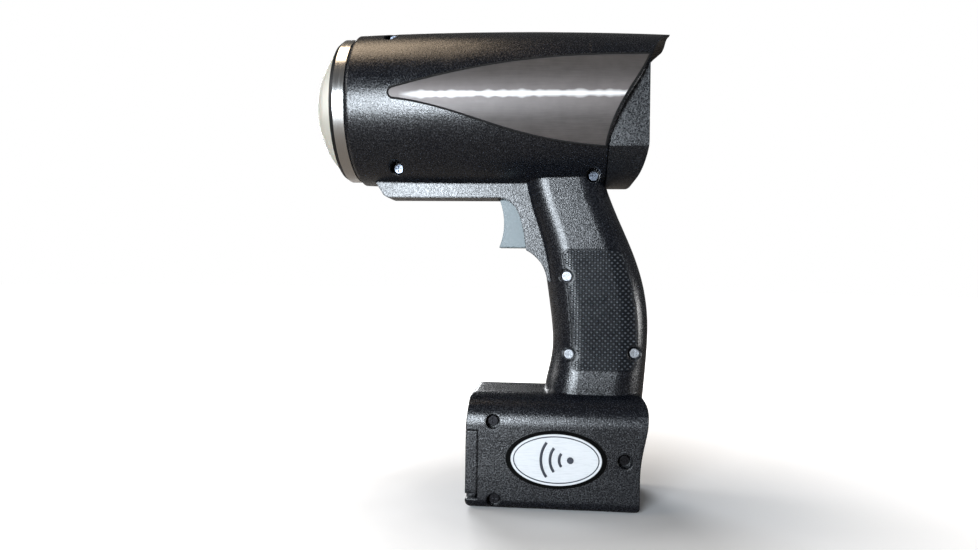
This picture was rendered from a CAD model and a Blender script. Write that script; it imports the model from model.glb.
from math import cos, pi, radians, sin

import bpy
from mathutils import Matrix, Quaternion, Vector
from mathutils.bvhtree import BVHTree


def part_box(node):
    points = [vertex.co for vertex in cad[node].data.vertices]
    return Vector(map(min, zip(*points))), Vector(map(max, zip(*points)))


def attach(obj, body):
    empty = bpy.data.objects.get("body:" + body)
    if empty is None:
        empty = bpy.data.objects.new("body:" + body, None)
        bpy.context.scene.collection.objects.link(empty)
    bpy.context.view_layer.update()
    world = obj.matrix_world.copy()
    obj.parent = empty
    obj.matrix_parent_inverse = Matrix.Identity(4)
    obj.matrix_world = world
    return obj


# Looks of a handheld radar speed gun. Metres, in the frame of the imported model:
# +Z up from the flat base, the lens points along -X and the gun's left side is -Y.

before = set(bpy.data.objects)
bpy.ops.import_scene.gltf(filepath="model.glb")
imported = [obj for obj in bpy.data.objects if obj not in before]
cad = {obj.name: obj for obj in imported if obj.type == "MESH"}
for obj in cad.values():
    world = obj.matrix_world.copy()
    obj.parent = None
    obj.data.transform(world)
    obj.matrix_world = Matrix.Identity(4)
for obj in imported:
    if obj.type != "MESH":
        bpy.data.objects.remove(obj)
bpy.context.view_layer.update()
MM = 0.001

# ------------------------------------------------------------------ dimensions shared with the model
AXIS_Z = 205.2 * MM
RING_FRONT_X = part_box("lens_ring")[0].x
RING_CHAMFER = 2.3 * MM
LABEL_TIP_X = -78 * MM
BADGE_CENTRE = (1.8 * MM, 26.1 * MM)        # x and z
BADGE_FACE_REACH = (22.6 * MM, 12.8 * MM)   # half width and half height inside the black border
BOX_SIDE_Y = 30.0 * MM
BOX_TOP = 57.2 * MM
RAIL_Z = 157.8 * MM         # underside of the rail
KEY_FACE_X = 46.0 * MM
KEY_Z = 187.0 * MM
LCD_FACE_X = 41.0 * MM
WINDOW_Z = 212.0 * MM
BASE_BODY = "housing"
TOP_SHARE = "top_share"     # how near a point is to the top of a diamond, 0 to 1


# ------------------------------------------------------------------ material helpers
# the stretch of a noise's values that shows: most of it, or a little wider for tool marks
NOISE_BAND = (0.3, 0.7)
MARK_BAND = (0.25, 0.75)


class Look:
    """One procedural material: short calls that add a node and give back its output."""

    def __init__(self, name, **settings):
        self.material = bpy.data.materials.new(name)
        self.material.use_nodes = True
        self.tree = self.material.node_tree
        self.shader = self.tree.nodes["Principled BSDF"]
        self.place = self.node("ShaderNodeTexCoord").outputs["Object"]
        for key, value in settings.items():
            self.set(key.replace("_", " "), value)

    def node(self, kind, **settings):
        made = self.tree.nodes.new(kind)
        for key, value in settings.items():
            setattr(made, key, value)
        return made

    def feed(self, socket, value):
        if isinstance(value, bpy.types.NodeSocket):
            self.tree.links.new(value, socket)
        elif isinstance(value, tuple) and len(value) == 3 and socket.type == "RGBA":
            socket.default_value = (*value, 1.0)
        else:
            socket.default_value = value

    def set(self, key, value):
        sockets = {socket.name.lower(): socket for socket in self.shader.inputs}
        self.feed(sockets[key.lower()], value)

    def stretched(self, scale):
        """Object position times a scale on each axis."""
        mapping = self.node("ShaderNodeMapping")
        self.feed(mapping.inputs["Vector"], self.place)
        mapping.inputs["Scale"].default_value = scale
        return mapping.outputs["Vector"]

    def noise(self, grain, detail=2.0, vector=None):
        """Noise whose blobs are about `grain` metres wide."""
        made = self.node("ShaderNodeTexNoise")
        self.feed(made.inputs["Vector"], vector or self.place)
        made.inputs["Scale"].default_value = 1.0 / grain
        made.inputs["Detail"].default_value = detail
        return made.outputs["Fac"]

    def cells(self, grain):
        """Distance from the nearest of a set of scattered points about `grain` metres apart."""
        made = self.node("ShaderNodeTexVoronoi")
        self.feed(made.inputs["Vector"], self.place)
        made.inputs["Scale"].default_value = 1.0 / grain
        return made.outputs["Distance"]

    def math(self, kind, a, b=0.0, clamp=False):
        made = self.node("ShaderNodeMath", operation=kind, use_clamp=clamp)
        self.feed(made.inputs[0], a)
        self.feed(made.inputs[1], b)
        return made.outputs[0]

    def spread(self, value, low, high, to_low, to_high):
        """Value that goes from to_low to to_high while the input goes from low to high."""
        made = self.node("ShaderNodeMapRange")
        self.feed(made.inputs["Value"], value)
        for key, number in zip(("From Min", "From Max", "To Min", "To Max"), (low, high, to_low, to_high)):
            made.inputs[key].default_value = number
        return made.outputs["Result"]

    def blend(self, share, first, second):
        """Colour that goes from first to second as share goes from 0 to 1."""
        made = self.node("ShaderNodeMix", data_type="RGBA")
        colours = [s for s in made.inputs if s.type == "RGBA"]
        self.feed(made.inputs[0], share)
        self.feed(colours[0], first)
        self.feed(colours[1], second)
        return [s for s in made.outputs if s.type == "RGBA"][0]

    def axes(self):
        """The three sockets of the object position: x, y and z."""
        split = self.node("ShaderNodeSeparateXYZ")
        self.feed(split.inputs[0], self.place)
        return split.outputs

    def relief(self, height, depth, round_by=0.0):
        """Bump from a height field, over edges softened by round_by."""
        bump = self.node("ShaderNodeBump")
        self.feed(bump.inputs["Height"], height)
        bump.inputs["Distance"].default_value = depth
        bump.inputs["Strength"].default_value = 1.0
        if round_by:
            bevel = self.node("ShaderNodeBevel", samples=4)
            bevel.inputs["Radius"].default_value = round_by
            self.feed(bump.inputs["Normal"], bevel.outputs["Normal"])
        self.feed(self.shader.inputs["Normal"], bump.outputs["Normal"])


GRAIN = 0.65 * MM
GRAIN_DEPTH = 0.09 * MM
ROUGH_SWING = 0.07      # how far the roughness strays with the grain
WEAR_SWING = 0.04       # and how far with handling


def grained_plastic(name, base, fleck, rough, round_by):
    """Moulded plastic with a fine spark-eroded grain and pale flecks on the grain's tops."""
    look = Look(name)
    fine = look.noise(GRAIN, 3.0)
    look.set("Specular IOR Level", look.spread(fine, 0.40, 0.66, 0.40, 1.35))
    broad = look.noise(28 * MM, 2.0)
    flecks = look.spread(fine, 0.50, 0.72, 0.0, 1.0)
    look.set("Base Color", look.blend(flecks, base, fleck))
    wear = look.spread(broad, *NOISE_BAND, -WEAR_SWING, WEAR_SWING)
    grain_rough = look.spread(fine, *NOISE_BAND, rough - ROUGH_SWING, rough + ROUGH_SWING)
    look.set("Roughness", look.math("ADD", grain_rough, wear))
    look.relief(look.noise(GRAIN * 0.9, 4.0), GRAIN_DEPTH, round_by)
    return look.material


CLOUDING = 0.06         # share by which the colour of smooth plastic strays


def smooth_plastic(name, colour, rough, round_by=0.25 * MM):
    """Fine-textured moulded plastic: slight clouding, faint flow lines, tiny scratches."""
    look = Look(name, Specular_IOR_Level=0.5)
    clouds = look.noise(9 * MM, 3.0)
    darker = tuple(c * (1 - CLOUDING) for c in colour)
    lighter = tuple(c * (1 + CLOUDING) for c in colour)
    look.set("Base Color", look.blend(clouds, darker, lighter))
    scratches = look.noise(1.0 * MM, 4.0, look.stretched((1.0, 7.0, 0.7)))
    look.set("Roughness", look.spread(scratches, *NOISE_BAND, rough - 0.05, rough + 0.06))
    look.relief(look.noise(0.4 * MM, 3.0), 0.012 * MM, round_by)
    return look.material


DARK_MARK = 0.35        # share of the metal's colour left in its deepest tool marks


def drawn_metal(name, colour, rough, direction):
    """Metal with fine parallel tool marks; direction scales the marks on each axis."""
    look = Look(name, Metallic=1.0)
    marks = look.noise(0.45 * MM, 4.0, look.stretched(direction))
    stains = look.noise(6 * MM, 3.0)
    mark_shade = look.spread(marks, *MARK_BAND, 0.86, 1.06)
    stain_shade = look.spread(stains, *NOISE_BAND, 0.93, 1.04)
    shade = look.math("MULTIPLY", mark_shade, stain_shade)
    look.set("Base Color", look.blend(shade, tuple(c * DARK_MARK for c in colour), colour))
    look.set("Roughness", look.spread(marks, *MARK_BAND, rough - 0.06, rough + 0.08))
    look.relief(marks, 0.01 * MM, 0.15 * MM)
    return look.material


def screw_look():
    """Pan-head screws: black oxide in the battery box, zinc in the grip, dull nickel in the barrel."""
    look = Look("case screws", Metallic=1.0)
    z = look.axes()[2]
    marks = look.noise(0.3 * MM, 4.0)
    zinc = look.spread(z, BOX_TOP, BOX_TOP + 1 * MM, 0.0, 1.0)
    dull = look.spread(z, RAIL_Z, RAIL_Z + 1 * MM, 0.0, 1.0)
    black = look.blend(marks, (0.02, 0.02, 0.022), (0.045, 0.045, 0.05))
    bright = look.blend(marks, (0.38, 0.40, 0.43), (0.56, 0.58, 0.61))
    nickel = look.blend(marks, (0.06, 0.072, 0.09), (0.18, 0.20, 0.24))
    look.set("Base Color", look.blend(dull, look.blend(zinc, black, bright), nickel))
    look.set("Roughness", look.spread(marks, *MARK_BAND, 0.22, 0.36))
    look.relief(marks, 0.015 * MM, 0.12 * MM)
    return look.material


def ring_look():
    """Turned and polished ring: tool marks round the axis, front chamfer blackened."""
    look = Look("turned ring", Metallic=1.0)
    x = look.axes()[0]
    marks = look.noise(0.22 * MM, 3.0, look.stretched((1.0, 0.02, 0.02)))
    chamfer_end = RING_FRONT_X + RING_CHAMFER
    black = look.spread(x, chamfer_end - 0.05 * MM, chamfer_end, 1.0, 0.0)
    bright = look.blend(marks, (0.62, 0.61, 0.60), (0.9, 0.89, 0.87))
    look.set("Base Color", look.blend(black, bright, (0.035, 0.036, 0.04)))
    polish = look.spread(marks, *NOISE_BAND, 0.16, 0.26)
    look.set("Roughness", look.math("ADD", polish, look.math("MULTIPLY", black, 0.2)))
    look.relief(marks, 0.008 * MM, 0.15 * MM)
    return look.material


def label_look():
    """Printed taupe label with brushed marks, cloudy print and one bright streak along its middle."""
    look = Look("brushed label", Metallic=0.2)
    x, _, z = look.axes()
    marks = look.noise(0.5 * MM, 4.0, look.stretched((0.03, 1.6, 1.6)))
    height = look.math("SUBTRACT", z, AXIS_Z)
    clouds = look.noise(5.5 * MM, 3.0)
    dark = look.blend(clouds, (0.042, 0.037, 0.035), (0.085, 0.074, 0.070))
    pale = look.blend(clouds, (0.11, 0.094, 0.090), (0.17, 0.148, 0.142))
    glow = look.spread(look.math("ABSOLUTE", height), 2 * MM, 12 * MM, 1.0, 0.0)
    field = look.blend(glow, dark, pale)
    along = look.noise(7 * MM, 1.0, look.stretched((1.0, 0.0, 0.0)))
    reach = look.spread(along, 0.35, 0.7, 1.0 * MM, 2.0 * MM)
    off_streak = look.math("DIVIDE", look.math("ABSOLUTE", height), reach)
    across_streak = look.spread(off_streak, 0.15, 1.35, 1.0, 0.0)
    past_tip = look.spread(x, LABEL_TIP_X, LABEL_TIP_X + 12 * MM, 0.0, 1.0)
    field = look.blend(look.math("MULTIPLY", across_streak, past_tip), field, (0.93, 0.91, 0.89))
    brushed = look.spread(marks, 0.2, 0.8, 0.0, 0.25)
    look.set("Base Color", look.blend(brushed, field, (0.20, 0.18, 0.172)))
    look.set("Roughness", look.spread(marks, *MARK_BAND, 0.36, 0.52))
    look.relief(marks, 0.01 * MM)
    return look.material


def badge_look():
    """Printed oval: silver field inside a black border."""
    look = Look("oval badge", Coat_Roughness=0.12)
    x, _, z = look.axes()
    centre_x, centre_z = BADGE_CENTRE
    reach_x, reach_z = BADGE_FACE_REACH
    across = look.math("DIVIDE", look.math("SUBTRACT", x, centre_x), reach_x)
    up = look.math("DIVIDE", look.math("SUBTRACT", z, centre_z), reach_z)
    squares = look.math("ADD", look.math("MULTIPLY", across, across), look.math("MULTIPLY", up, up))
    out = look.math("SQRT", squares)
    border = look.spread(out, 0.985, 1.0, 0.0, 1.0)
    fine = look.noise(0.4 * MM, 3.0, look.stretched((0.08, 1.0, 1.4)))
    silver = look.blend(fine, (0.62, 0.635, 0.65), (0.74, 0.755, 0.77))
    look.set("Base Color", look.blend(border, silver, (0.002, 0.002, 0.002)))
    look.set("Coat Weight", look.math("MULTIPLY", look.math("SUBTRACT", 1.0, border), 0.5))
    look.set("Specular IOR Level", look.math("SUBTRACT", 0.5, look.math("MULTIPLY", border, 0.45)))
    look.set("Roughness", look.spread(fine, *NOISE_BAND, 0.24, 0.36))
    look.relief(fine, 0.008 * MM, 0.2 * MM)
    return look.material


def lens_look():
    """Off-white lens of a radar-clear plastic, slightly translucent, with faint mould clouds."""
    look = Look("radar lens", Specular_IOR_Level=0.45, Subsurface_Weight=0.15, Subsurface_Scale=2 * MM)
    clouds = look.noise(14 * MM, 4.0)
    dust = look.spread(look.noise(0.8 * MM, 4.0), 0.62, 0.75, 0.0, 1.0)
    cream = look.blend(clouds, (0.42, 0.40, 0.34), (0.48, 0.455, 0.39))
    look.set("Base Color", look.blend(dust, cream, (0.46, 0.43, 0.35)))
    look.set("Roughness", look.spread(clouds, *NOISE_BAND, 0.34, 0.44))
    look.relief(look.noise(0.55 * MM, 3.0), 0.012 * MM)
    return look.material


def board_look():
    """Circuit board: solder mask over copper tracks, with small plated holes."""
    look = Look("circuit board", Specular_IOR_Level=0.6)
    tracks = look.node("ShaderNodeTexBrick", offset=0.37, squash=0.8)
    look.feed(tracks.inputs["Vector"], look.stretched((1.0, 0.7, 1.0)))
    tracks.inputs["Scale"].default_value = 240.0
    tracks.inputs["Mortar Size"].default_value = 0.06
    holes = look.spread(look.cells(3.1 * MM), 0.10, 0.14, 1.0, 0.0)
    green = look.blend(tracks.outputs["Fac"], (0.01, 0.085, 0.035), (0.02, 0.17, 0.06))
    look.set("Base Color", look.blend(holes, green, (0.75, 0.7, 0.55)))
    look.set("Roughness", look.spread(look.noise(2 * MM), *NOISE_BAND, 0.25, 0.4))
    look.relief(tracks.outputs["Fac"], 0.03 * MM)
    return look.material


def lcd_look():
    """Grey-green liquid crystal face in a dark bezel."""
    look = Look("display face", Coat_Weight=0.5, Coat_Roughness=0.05)
    x = look.axes()[0]
    glass = look.spread(x, LCD_FACE_X - 0.7 * MM, LCD_FACE_X - 0.6 * MM, 0.0, 1.0)
    grid = look.noise(0.25 * MM, 1.0)
    face = look.blend(grid, (0.36, 0.41, 0.33), (0.42, 0.47, 0.38))
    look.set("Base Color", look.blend(glass, (0.02, 0.02, 0.022), face))
    look.set("Roughness", look.spread(look.noise(5 * MM), *NOISE_BAND, 0.22, 0.3))
    look.relief(grid, 0.004 * MM)
    return look.material


def window_look():
    """Clear hard-coated window with faint smears."""
    look = Look("clear window", Transmission_Weight=0.95, ior=1.49, Specular_IOR_Level=0.5)
    smears = look.noise(7 * MM, 4.0, look.stretched((1.0, 1.0, 3.0)))
    look.set("Base Color", look.blend(smears, (0.90, 0.93, 0.94), (0.97, 0.98, 0.98)))
    look.set("Roughness", look.spread(smears, 0.4, 0.7, 0.01, 0.07))
    look.relief(look.noise(2 * MM), 0.003 * MM)
    return look.material


BAND_START = -17.0 * MM
BAND_END = -12.0 * MM
SLEEVE_END = 23.6 * MM
EDGE_BLUR = 0.1 * MM


def cell_look():
    """Shrink-wrapped cells: blue sleeve with a pale band near one end and bare metal ends."""
    look = Look("battery sleeve", Coat_Weight=0.4)
    y = look.axes()[1]
    past_start = look.spread(y, BAND_START - EDGE_BLUR, BAND_START, 0.0, 1.0)
    before_end = look.spread(y, BAND_END - EDGE_BLUR, BAND_END, 1.0, 0.0)
    band = look.math("MULTIPLY", past_start, before_end)
    bare = look.spread(look.math("ABSOLUTE", y), SLEEVE_END, SLEEVE_END + EDGE_BLUR, 0.0, 1.0)
    fine = look.noise(1.5 * MM, 3.0)
    sleeve = look.blend(fine, (0.02, 0.07, 0.22), (0.03, 0.10, 0.29))
    banded = look.blend(band, sleeve, (0.75, 0.76, 0.76))
    look.set("Base Color", look.blend(bare, banded, (0.6, 0.6, 0.58)))
    look.set("Metallic", bare)
    look.set("Roughness", look.spread(fine, *NOISE_BAND, 0.28, 0.38))
    look.relief(fine, 0.015 * MM)
    return look.material


def rubber(name, colour, rough=0.55, fleck=(0.1, 0.105, 0.115)):
    """Matt rubber with specks of dust and a slightly uneven sheen."""
    look = Look(name, Specular_IOR_Level=0.45)
    dust = look.noise(0.5 * MM, 4.0)
    look.set("Base Color", look.blend(look.spread(dust, 0.55, 0.8, 0.0, 0.6), colour, fleck))
    look.set("Roughness", look.spread(look.noise(6 * MM, 3.0), *NOISE_BAND, rough - 0.06, rough + 0.08))
    look.relief(dust, 0.02 * MM, 0.2 * MM)
    return look.material


def checker_look():
    """Shiny black rubber of the grip's diamonds, slightly worn on top."""
    look = Look("checkered rubber")
    wear = look.noise(3 * MM, 3.0)
    top = look.node("ShaderNodeAttribute", attribute_name=TOP_SHARE).outputs["Fac"]
    low = look.blend(wear, (0.002, 0.003, 0.004), (0.005, 0.006, 0.009))
    look.set("Base Color", look.blend(look.spread(top, 0.6, 1.0, 0.0, 1.0), low, (0.075, 0.088, 0.105)))
    look.set("Specular IOR Level", look.spread(top, 0.2, 1.0, 0.12, 1.5))
    look.set("Roughness", look.spread(wear, *NOISE_BAND, 0.24, 0.36))
    look.relief(look.noise(0.12 * MM), 0.003 * MM)
    return look.material


CASE = grained_plastic("case plastic", (0.002, 0.0028, 0.005), (0.010, 0.0135, 0.021), 0.26, 1.2 * MM)
POD = grained_plastic("pod plastic", (0.004, 0.005, 0.007), (0.016, 0.019, 0.025), 0.30, 0.35 * MM)
RING = ring_look()
HORN = drawn_metal("spun horn", (0.72, 0.72, 0.73), 0.3, (1.0, 0.03, 0.03))
MODULE = drawn_metal("milled module", (0.66, 0.66, 0.64), 0.34, (0.06, 1.0, 1.0))
SCREWS = screw_look()
STEEL = drawn_metal("zinc steel", (0.80, 0.81, 0.84), 0.25, (1.0, 0.3, 0.2))
SPRING = drawn_metal("spring wire", (0.6, 0.6, 0.62), 0.25, (1.0, 1.0, 1.0))
BRASS = drawn_metal("contact metal", (0.83, 0.68, 0.4), 0.28, (1.0, 0.5, 0.1))
LABEL = label_look()
BADGE = badge_look()
LENS = lens_look()
TRIGGER = smooth_plastic("trigger plastic", (0.15, 0.19, 0.205), 0.36, round_by=1.0 * MM)
PAD = rubber("grip rubber", (0.004, 0.0055, 0.008), 0.30, fleck=(0.012, 0.015, 0.02))
KEY = rubber("key rubber", (0.05, 0.055, 0.06))
GASKET = rubber("gasket rubber", (0.015, 0.015, 0.015), 0.65)
TRIM = rubber("label trim", (0.002, 0.002, 0.002), 0.75, fleck=(0.006, 0.006, 0.007))
SWITCH = smooth_plastic("switch body", (0.03, 0.03, 0.034), 0.45)
PLUNGER = smooth_plastic("plunger", (0.5, 0.04, 0.03), 0.35)
TRAY = smooth_plastic("battery tray", (0.05, 0.05, 0.055), 0.5)
PACKAGES = smooth_plastic("component packages", (0.02, 0.02, 0.022), 0.5)
JACK = smooth_plastic("jack body", (0.015, 0.015, 0.016), 0.42)
WIRE = smooth_plastic("wire jacket", (0.42, 0.03, 0.025), 0.4)
INK_WHITE = smooth_plastic("white ink", (0.72, 0.73, 0.74), 0.5)
INK_DARK = smooth_plastic("dark ink", (0.03, 0.035, 0.05), 0.4)
SEGMENTS = smooth_plastic("display segments", (0.02, 0.025, 0.02), 0.3)
CHECKER = checker_look()
BOARD = board_look()
LCD = lcd_look()
WINDOW = window_look()
CELLS = cell_look()

LOOKS = {
    "left_shell": CASE, "right_shell": CASE, "battery_door": CASE, "rear_housing": POD,
    "housing_screws": SCREWS, "module_screws": STEEL, "board_screws": STEEL, "trigger_pin": STEEL,
    "door_pin": SCREWS, "jack_nut": STEEL,
    "lens_ring": RING, "horn_lens": LENS, "lens_gasket": GASKET, "horn_antenna": HORN,
    "microwave_module": MODULE, "main_board": BOARD, "display_board": BOARD, "board_components": PACKAGES,
    "display_window": WINDOW, "lcd_panel": LCD, "keypad_mat": KEY, "button_power": KEY, "button_mode": KEY,
    "button_recall": KEY, "trigger": TRIGGER, "trigger_spring": SPRING, "trigger_switch": SWITCH,
    "switch_plunger": PLUNGER, "battery_cells": CELLS, "battery_tray": TRAY, "battery_contacts": BRASS,
    "charge_jack": JACK, "wire_harness": WIRE, "left_grip_pad": PAD, "right_grip_pad": PAD,
    "left_label": LABEL, "right_label": LABEL, "left_badge": BADGE, "right_badge": BADGE,
}
for name, material in LOOKS.items():
    cad[name].data.materials.clear()
    cad[name].data.materials.append(material)


# ------------------------------------------------------------------ piece helpers
def add_mesh(name, points, faces, material):
    """Piece made from points and faces, fixed to the case."""
    mesh = bpy.data.meshes.new(name)
    mesh.from_pydata([tuple(p) for p in points], [], faces)
    mesh.validate()
    mesh.materials.append(material)
    piece = bpy.data.objects.new(name, mesh)
    bpy.context.scene.collection.objects.link(piece)
    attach(piece, BASE_BODY)
    return piece


def add_cords(name, paths, radius, material, body=BASE_BODY):
    """Round cords along paths of points; each path is (points, closed)."""
    curve = bpy.data.curves.new(name, "CURVE")
    curve.dimensions = "3D"
    curve.bevel_depth = radius
    curve.bevel_resolution = 3
    curve.use_fill_caps = True
    for points, closed in paths:
        line = curve.splines.new("POLY")
        line.points.add(len(points) - 1)
        for spot, point in zip(line.points, points):
            spot.co = (*point, 1.0)
        line.use_cyclic_u = closed
    source = bpy.data.objects.new(name + "_source", curve)
    bpy.context.scene.collection.objects.link(source)
    bpy.context.view_layer.update()
    mesh = bpy.data.meshes.new_from_object(source.evaluated_get(bpy.context.evaluated_depsgraph_get()))
    bpy.data.objects.remove(source)
    mesh.shade_smooth()
    mesh.materials.clear()
    mesh.materials.append(material)
    piece = bpy.data.objects.new(name, mesh)
    bpy.context.scene.collection.objects.link(piece)
    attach(piece, body)


def skin_of(node):
    """Search tree over a CAD piece's faces, for casting rays at it."""
    mesh = cad[node].data
    return BVHTree.FromPolygons([v.co.copy() for v in mesh.vertices], [p.vertices[:] for p in mesh.polygons])


# ------------------------------------------------------------------ checkered grip pads
PITCH = 2.0 * MM
RISE = 0.6 * MM
SINK = -0.08 * MM
MARGIN = 0.6 * MM
CAST_FROM = 40 * MM         # rays start this far out from the gun's middle plane
PAD_LEAST_Y = 8.2 * MM      # the pad's outer skin lies further out than this
GRID_HALF = 60              # diamonds each way from the pad's middle
DIAGONAL = 0.7071
# position across one diamond, and how high the surface stands there
PROFILE = ((0.0, 0.0), (0.4, 1.0), (0.6, 1.0))


def checkering(node, side):
    """Truncated pyramids, turned 45 degrees, standing on the pad's own skin inside a plain border."""
    skin = skin_of(node)
    low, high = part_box(node)

    def hit(x, z):
        point, normal, _, _ = skin.ray_cast(Vector((x, side * CAST_FROM, z)), Vector((0, -side, 0)))
        if point is None or point.y * side < PAD_LEAST_Y:
            return None
        return point, normal if normal.y * side > 0 else -normal

    def well_inside(x, z):
        around = [(MARGIN * cos(k * pi / 4), MARGIN * sin(k * pi / 4)) for k in range(8)]
        return all(hit(x + dx, z + dz) for dx, dz in around)

    steps = [(k + share, rise) for k in range(-GRID_HALF, GRID_HALF) for share, rise in PROFILE]
    middle_x, middle_z = (low.x + high.x) / 2, (low.z + high.z) / 2
    index, points, shares, faces = {}, [], [], []
    for i, (s, rise_s) in enumerate(steps):
        for j, (t, rise_t) in enumerate(steps):
            x = middle_x + (s + t) * PITCH * DIAGONAL
            z = middle_z + (s - t) * PITCH * DIAGONAL
            if not (low.x <= x <= high.x and low.z <= z <= high.z):
                continue
            found = hit(x, z)
            if found is None:
                continue
            share = min(rise_s, rise_t) if well_inside(x, z) else 0.0
            index[i, j] = len(points)
            points.append(found[0] + found[1] * (SINK + share * (RISE - SINK)))
            shares.append(share)
    for i, j in index:
        corners = [(i, j), (i + 1, j), (i + 1, j + 1), (i, j + 1)]
        if all(c in index for c in corners):
            faces.append([index[c] for c in corners])
    name = node.replace("pad", "checkering")
    piece = add_mesh(name, points, faces, CHECKER)
    piece.data.attributes.new(TOP_SHARE, "FLOAT", "POINT").data.foreach_set("value", shares)


checkering("left_grip_pad", -1)
checkering("right_grip_pad", 1)


# ------------------------------------------------------------------ trim round the side labels
TRIM_RADIUS = 0.5 * MM
KEYS_PER_METRE = 1e6        # points closer than a micrometre count as one
FACING_OUT = 0.8            # least cosine between an outer face's normal and straight out


def outer_edge(node):
    """Loop of points round the outer face of a label."""
    mesh = cad[node].data
    middle = Vector((0, 0, AXIS_Z))
    uses, spots = {}, {}
    for face in mesh.polygons:
        outward = face.center - middle
        outward.x = 0
        if face.normal.dot(outward.normalized()) < FACING_OUT:
            continue
        keys = []
        for k in face.vertices:
            spot = mesh.vertices[k].co
            key = tuple(round(c * KEYS_PER_METRE) for c in spot)
            spots[key] = spot.copy()
            keys.append(key)
        for a, b in zip(keys, keys[1:] + keys[:1]):
            uses.setdefault(frozenset((a, b)), []).append((a, b))
    border = dict(pair[0] for pair in uses.values() if len(pair) == 1)
    start = min(border)
    loop, here = [start], border[start]
    while here != start and here in border and len(loop) <= len(border):
        loop.append(here)
        here = border[here]
    return [spots[key] for key in loop]


for side in ("left", "right"):
    loop = outer_edge(side + "_label")
    add_cords(side + "_label_trim", [(loop, True)], TRIM_RADIUS, TRIM)


# ------------------------------------------------------------------ badge emblem: plain echo arcs
BADGE_PROUD = 1.32 * MM
PIN_LINE = (21.0 * MM, 0.545)       # half width, and height as a share of width
PIN_LINE_R = 0.28 * MM
ECHO_SOURCE_X = 7 * MM              # from the badge's centre
ECHO_RADII = (5.5, 10.0, 14.5)
ECHO_HALF_ANGLE = 36
ECHO_LINE_R = 0.7 * MM
DOT_R = 1.7 * MM


def badge_emblem(side, y_sign):
    y = y_sign * (BOX_SIDE_Y + BADGE_PROUD)
    cx, cz = BADGE_CENTRE

    def arc(radius, start, end, centre_x, squash=1.0, count=40):
        angles = [radians(start + (end - start) * k / count) for k in range(count + 1)]
        return [(centre_x + radius * cos(a), y, cz + radius * squash * sin(a)) for a in angles]

    line_reach, line_squash = PIN_LINE
    ring = arc(line_reach, 0, 360, cx, squash=line_squash, count=96)[:-1]
    add_cords(side + "_badge_line", [(ring, True)], PIN_LINE_R, INK_DARK)
    source_x = cx + ECHO_SOURCE_X
    start, end = 180 - ECHO_HALF_ANGLE, 180 + ECHO_HALF_ANGLE
    arcs = [(arc(r * MM, start, end, source_x), False) for r in ECHO_RADII]
    add_cords(side + "_badge_arcs", arcs, ECHO_LINE_R, INK_DARK)
    dot = [(source_x, y + y_sign * d * MM, cz) for d in (-0.5, 0.3)]
    add_cords(side + "_badge_dot", [(dot, False)], DOT_R, INK_DARK)


badge_emblem("left", -1)
badge_emblem("right", 1)

# ------------------------------------------------------------------ display digits and key symbols
SEGMENT_LINES = {
    "a": ((0, 2), (1, 2)), "b": ((1, 2), (1, 1)), "c": ((1, 1), (1, 0)), "d": ((0, 0), (1, 0)),
    "e": ((0, 1), (0, 0)), "f": ((0, 2), (0, 1)), "g": ((0, 1), (1, 1)),
}
DIGITS = {"7": "abc", "5": "afgcd"}
DIGIT_SLIMNESS = 0.95       # a digit's width as a share of its half height
DIGIT_STEP = 1.5
STROKE = 0.09               # half a stroke's width as a share of the half height
STROKE_GAP = 1.2            # from a segment's end to the corner, in half strokes


def display_digits(text, y_start, size):
    """Seven-segment digits standing just proud of the display; size is half their height."""
    points, faces = [], []
    half = STROKE * size
    for place, digit in enumerate(text):
        for segment in DIGITS[digit]:
            (a0, b0), (a1, b1) = SEGMENT_LINES[segment]
            start = Vector((0, a0 * size * DIGIT_SLIMNESS, b0 * size))
            end = Vector((0, a1 * size * DIGIT_SLIMNESS, b1 * size))
            along = (end - start).normalized()
            across = Vector((0, -along.z, along.y)) * half
            start, end = start + along * half * STROKE_GAP, end - along * half * STROKE_GAP
            tip = along * half
            outline = (start - tip, start + across, end + across, end + tip, end - across, start - across)
            base = len(points)
            origin = Vector((LCD_FACE_X, y_start + place * size * DIGIT_STEP, WINDOW_Z - size))
            for lift in (-0.05 * MM, 0.06 * MM):
                points.extend(origin + p + Vector((lift, 0, 0)) for p in outline)
            faces.append([base + k for k in range(6)])
            faces.append([base + 11 - k for k in range(6)])
            for k in range(6):
                after = (k + 1) % 6
                faces.append([base + k, base + after, base + 6 + after, base + 6 + k])
    add_mesh("display_digits", points, faces, SEGMENTS)


display_digits("75", -10.5 * MM, 8.4 * MM)

KEY_STEP = 17 * MM
INK_PROUD = 0.02 * MM
INK_RADIUS = 0.2 * MM


def key_symbol(name, body, y, strokes):
    """Printed sign that rides on its key; strokes are (points in mm round the key's centre, closed)."""
    paths = [([(KEY_FACE_X + INK_PROUD, y + a * MM, KEY_Z + b * MM) for a, b in points], closed)
             for points, closed in strokes]
    add_cords(name, paths, INK_RADIUS, INK_WHITE, body)


POWER_RING_R = 1.7
open_ring = [(POWER_RING_R * sin(radians(a)), POWER_RING_R * cos(radians(a))) for a in range(35, 326, 10)]
key_symbol("power_symbol", "power_key", -KEY_STEP, [(open_ring, False), ([(0, 0.5), (0, 2.2)], False)])
bars = [([(-1.6, z), (1.6, z)], False) for z in (-1.1, 0.0, 1.1)]
key_symbol("mode_symbol", "mode_key", 0.0, bars)
key_symbol("recall_symbol", "recall_key", KEY_STEP, [([(1.4, 1.5), (1.4, -1.5), (-1.5, 0)], True)])

# ------------------------------------------------------------------ floor, light and camera
FLOOR_R = 6.0
FLOOR_SIDES = 64
FADE_FROM, FADE_TO = 0.07, 0.32     # metres from the object's middle
ROOM_GLOW = 0.10                    # strength of the room that the object reflects


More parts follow.
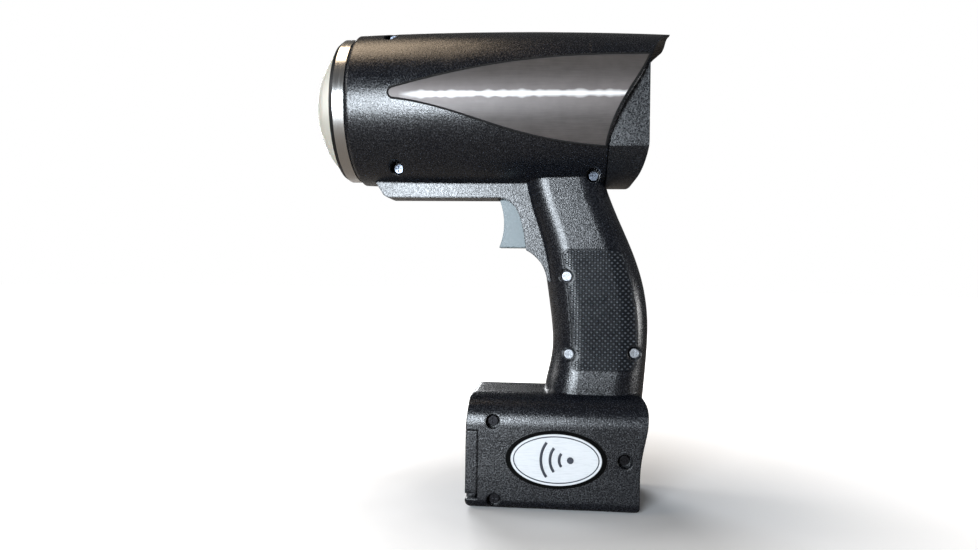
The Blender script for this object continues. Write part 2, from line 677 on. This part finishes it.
def pale_floor():
    """Round floor that takes the gun's shadow and is nearly dark where the gun's surfaces reflect it."""
    mesh = bpy.data.meshes.new("floor")
    turns = [2 * pi * k / FLOOR_SIDES for k in range(FLOOR_SIDES)]
    rim = [(FLOOR_R * cos(a), FLOOR_R * sin(a), 0.0) for a in turns]
    mesh.from_pydata(rim, [], [list(range(FLOOR_SIDES))])
    look = Look("pale floor", Specular_IOR_Level=0.2)
    path = look.node("ShaderNodeLightPath")
    pale = look.blend(look.noise(0.2, 2.0), (0.86, 0.86, 0.865), (0.89, 0.89, 0.89))
    look.set("Base Color", look.blend(path.outputs["Is Glossy Ray"], pale, (0.22, 0.20, 0.18)))
    look.set("Roughness", look.spread(look.noise(0.05, 2.0), *NOISE_BAND, 0.6, 0.7))
    # the camera sees the floor fade into the white background away from the object
    length = look.node("ShaderNodeVectorMath", operation="LENGTH")
    look.feed(length.inputs[0], look.place)
    far = look.spread(length.outputs["Value"], FADE_FROM, FADE_TO, 0.0, 0.95)
    look.set("Emission Color", (1.0, 1.0, 1.0))
    look.set("Emission Strength", look.math("MULTIPLY", path.outputs["Is Camera Ray"], far))
    mesh.materials.append(look.material)
    floor = bpy.data.objects.new("floor", mesh)
    bpy.context.scene.collection.objects.link(floor)


def studio_world():
    """White behind the object as the camera sees it, and a much dimmer room as the object reflects it."""
    world = bpy.data.worlds.new("studio")
    world.use_nodes = True
    nodes, links = world.node_tree.nodes, world.node_tree.links
    path = nodes.new("ShaderNodeLightPath")
    strength = nodes.new("ShaderNodeMapRange")
    strength.inputs["To Min"].default_value = ROOM_GLOW
    strength.inputs["To Max"].default_value = 1.0
    links.new(path.outputs["Is Camera Ray"], strength.inputs["Value"])
    links.new(strength.outputs["Result"], nodes["Background"].inputs["Strength"])
    nodes["Background"].inputs["Color"].default_value = (1.0, 1.0, 1.0, 1.0)
    bpy.context.scene.world = world
    bpy.context.scene.view_settings.view_transform = "Standard"


def softbox(name, place, size, power, colour=(1, 1, 1)):
    """Rectangular lamp aimed at the middle of the gun."""
    light = bpy.data.lights.new(name, "AREA")
    light.shape = "RECTANGLE"
    light.size, light.size_y = size
    light.energy = power
    light.color = colour
    lamp = bpy.data.objects.new(name, light)
    lamp.location = place
    lamp.rotation_mode = "QUATERNION"
    lamp.rotation_quaternion = (MIDDLE - Vector(place)).to_track_quat("-Z", "Y")
    bpy.context.scene.collection.objects.link(lamp)


MIDDLE = Vector((-0.03, 0.0, 0.15))
pale_floor()
studio_world()
softbox("key_light", (-0.30, -1.0, 0.25), (0.36, 0.46), 12.5, (0.84, 0.92, 1.0))
softbox("top_light", (-0.40, 0.05, 1.15), (0.6, 0.40), 3.2, (1.0, 0.78, 0.55))
softbox("back_light", (-0.45, 1.0, 0.45), (0.5, 0.35), 9, (0.95, 0.97, 1.0))
softbox("side_light", (1.1, -0.1, 0.12), (0.4, 0.22), 3)
softbox("front_light", (-1.1, 0.3, 0.45), (0.4, 0.4), 4)

VIEW_CENTRE = Vector((-35.64, 0.0, 117.07)) * MM
VIEW_DISTANCE = 0.405
VIEW_TURN = radians(5.39)
VIEW_ROLL = radians(0.78)
VIEW_LENS = 27.6
camera_data = bpy.data.cameras.new("camera")
camera_data.lens = VIEW_LENS
camera_data.clip_start = 0.01
camera = bpy.data.objects.new("camera", camera_data)
camera.location = VIEW_CENTRE + VIEW_DISTANCE * Vector((sin(VIEW_TURN), -cos(VIEW_TURN), 0.0))
camera.rotation_mode = "QUATERNION"
camera.rotation_quaternion = (
    (VIEW_CENTRE - camera.location).to_track_quat("-Z", "Y") @ Quaternion((0, 0, 1), VIEW_ROLL)
)
bpy.context.scene.collection.objects.link(camera)
bpy.context.scene.camera = camera
